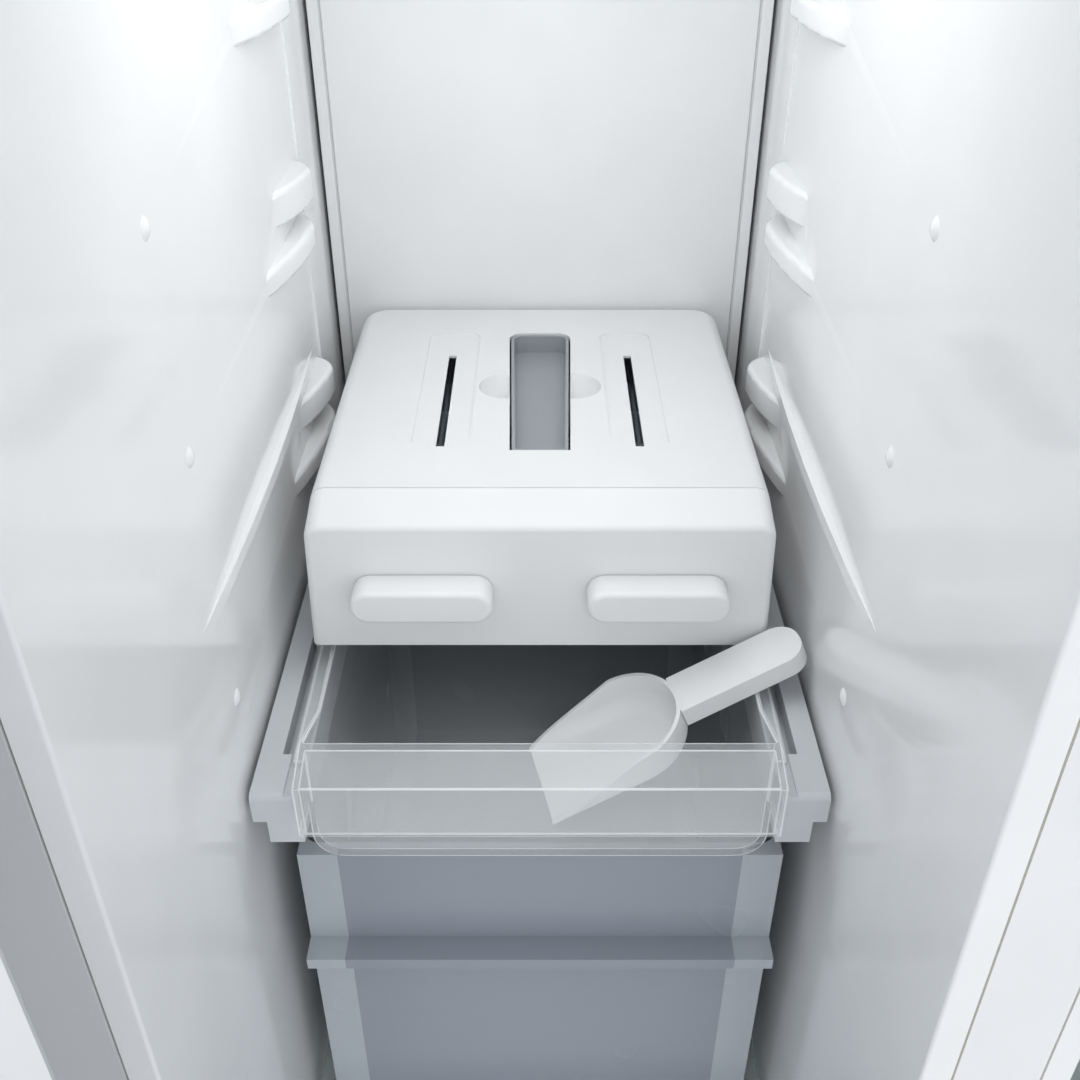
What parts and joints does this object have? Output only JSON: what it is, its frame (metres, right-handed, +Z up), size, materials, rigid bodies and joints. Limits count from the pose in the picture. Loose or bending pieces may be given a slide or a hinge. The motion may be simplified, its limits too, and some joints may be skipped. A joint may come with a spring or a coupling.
{
  "type": "side by side refrigerator",
  "caption": "Side by side refrigerator with its doors standing open: freezer with drawers and a twist tray ice maker over a sliding ice bin, fridge with glass shelves and crispers.",
  "frame": {"origin": "centre of the front left foot's sole, on the floor", "axes": "+X to the right along the front, +Y to the back, +Z up"},
  "size_m": [1.5302, 1.0935, 1.786],
  "materials": {
    "case_paint": "smooth light grey paint",
    "galvanised": "bare galvanised sheet",
    "door_steel": "brushed with an upright grain",
    "handle_metal": "satin anodised",
    "foam": "rigid insulating foam",
    "liner_white": "glossy moulded",
    "cover_white": "glossy moulded",
    "maker_white": "satin moulded",
    "tray_plastic": "flexible satin",
    "trough_plastic": "grey translucent",
    "scoop_white": "satin moulded",
    "clear_plastic": "clear moulded",
    "drawer_grey": "grey translucent moulded",
    "frame_grey": "satin moulded",
    "shelf_glass": "toughened, clear",
    "lamp_frost": "frosted",
    "gasket_grey": "soft vinyl",
    "trim_grey": "fine texture",
    "machine_black": "black enamel",
    "mount_rubber": "matt black",
    "evaporator_metal": "bare"
  },
  "bodies": {
    "cabinet": {"outer_case": "case_paint", "back_panel": "galvanised", "base_pan": "case_paint", "cabinet_foam": "foam", "freezer_liner": "liner_white", "fridge_liner": "liner_white", "mullion_plate": "cover_white", "toe_grille": "trim_grey", "roller_brackets": "galvanised", "upper_hinges": "galvanised", "lower_hinges": "galvanised", "hinge_covers": "trim_grey", "evaporator_cover": "cover_white", "evaporator": "evaporator_metal", "fan_motors": "machine_black", "compressor": "machine_black", "compressor_mounts": "mount_rubber", "condenser": "machine_black", "drain_pan": "trim_grey", "machine_cover": "galvanised", "power_inlet": "trim_grey", "ice_shelf_frame": "frame_grey", "ice_maker_housing": "maker_white", "ice_maker_lid": "maker_white", "freezer_shelves": "shelf_glass", "fridge_shelves": "shelf_glass", "shelf_trims": "frame_grey", "fridge_air_duct": "cover_white", "lamp_covers": "lamp_frost", "control_panel": "cover_white"},
    "freezer_door": {"freezer_door_skin": "door_steel", "freezer_door_foam": "foam", "freezer_door_liner": "liner_white", "freezer_door_gasket": "gasket_grey", "freezer_door_handle": "handle_metal", "freezer_door_bins": "clear_plastic"},
    "fridge_door": {"fridge_door_skin": "door_steel", "fridge_door_foam": "foam", "fridge_door_liner": "liner_white", "fridge_door_gasket": "gasket_grey", "fridge_door_handle": "handle_metal", "fridge_door_bins": "clear_plastic"},
    "ice_bin": {"ice_bin": "clear_plastic", "ice_scoop": "scoop_white"},
    "left_tray": {"left_ice_tray": "tray_plastic", "left_twist_knob": "maker_white"},
    "right_tray": {"right_ice_tray": "tray_plastic", "right_twist_knob": "maker_white"},
    "water_trough": {"water_trough": "trough_plastic"},
    "upper_drawer": {"upper_freezer_drawer": "drawer_grey"},
    "middle_drawer": {"middle_freezer_drawer": "drawer_grey"},
    "lower_drawer": {"lower_freezer_drawer": "drawer_grey"},
    "left_crisper": {"left_crisper": "clear_plastic"},
    "right_crisper": {"right_crisper": "clear_plastic"},
    "evaporator_fan": {"evaporator_fan": "trim_grey"},
    "condenser_fan": {"condenser_fan": "trim_grey"},
    "front_left_foot": {"front_left_foot": "trim_grey"},
    "front_right_foot": {"front_right_foot": "trim_grey"},
    "rear_left_roller": {"rear_left_roller": "trim_grey"},
    "rear_right_roller": {"rear_right_roller": "trim_grey"}
  },
  "joints": [
    {"name": "freezer_door_hinge", "type": "hinge", "parent": "cabinet", "child": "freezer_door", "pos_m": [-0.025, -0.09, 0.902], "axis": [0, 0, -1], "range_deg": [-135, 0]},
    {"name": "fridge_door_hinge", "type": "hinge", "parent": "cabinet", "child": "fridge_door", "pos_m": [0.845, -0.09, 0.902], "axis": [0, 0, 1], "range_deg": [-135, 0]},
    {"name": "ice_bin_slide", "type": "slide", "parent": "cabinet", "child": "ice_bin", "axis": [0, -1, 0], "range_m": [0, 0.3]},
    {"name": "left_tray_twist", "type": "hinge", "parent": "cabinet", "child": "left_tray", "pos_m": [0.096, 0.212, 1.1745], "axis": [0, 1, 0], "range_deg": [0, 120], "stiffness_Nm_per_rad": 0.4},
    {"name": "right_tray_twist", "type": "hinge", "parent": "cabinet", "child": "right_tray", "pos_m": [0.224, 0.212, 1.1745], "axis": [0, 1, 0], "range_deg": [0, 120], "stiffness_Nm_per_rad": 0.4},
    {"name": "water_trough_lift", "type": "slide", "parent": "cabinet", "child": "water_trough", "axis": [0, 0, 1], "range_m": [0, 0.1]},
    {"name": "upper_drawer_slide", "type": "slide", "parent": "cabinet", "child": "upper_drawer", "axis": [0, -1, 0], "range_m": [0, 0.3]},
    {"name": "middle_drawer_slide", "type": "slide", "parent": "cabinet", "child": "middle_drawer", "axis": [0, -1, 0], "range_m": [0, 0.3]},
    {"name": "lower_drawer_slide", "type": "slide", "parent": "cabinet", "child": "lower_drawer", "axis": [0, -1, 0], "range_m": [0, 0.2]},
    {"name": "left_crisper_slide", "type": "slide", "parent": "cabinet", "child": "left_crisper", "axis": [0, -1, 0], "range_m": [0, 0.2]},
    {"name": "right_crisper_slide", "type": "slide", "parent": "cabinet", "child": "right_crisper", "axis": [0, -1, 0], "range_m": [0, 0.2]},
    {"name": "evaporator_fan_spin", "type": "hinge", "parent": "cabinet", "child": "evaporator_fan", "pos_m": [0.16, 0.516, 1.53], "axis": [0, 1, 0], "continuous": true},
    {"name": "condenser_fan_spin", "type": "hinge", "parent": "cabinet", "child": "condenser_fan", "pos_m": [0.305, 0.495, 0.131], "axis": [1, 0, 0], "continuous": true},
    {"name": "front_left_foot_screw", "type": "hinge", "parent": "cabinet", "child": "front_left_foot", "pos_m": [0, 0, 0.031], "axis": [0, 0, 1], "continuous": true},
    {"name": "front_right_foot_screw", "type": "hinge", "parent": "cabinet", "child": "front_right_foot", "pos_m": [0.82, 0, 0.031], "axis": [0, 0, 1], "continuous": true},
    {"name": "rear_left_roller_spin", "type": "hinge", "parent": "cabinet", "child": "rear_left_roller", "pos_m": [0, 0.545, 0.018], "axis": [1, 0, 0], "continuous": true},
    {"name": "rear_right_roller_spin", "type": "hinge", "parent": "cabinet", "child": "rear_right_roller", "pos_m": [0.82, 0.545, 0.018], "axis": [1, 0, 0], "continuous": true}
  ]
}
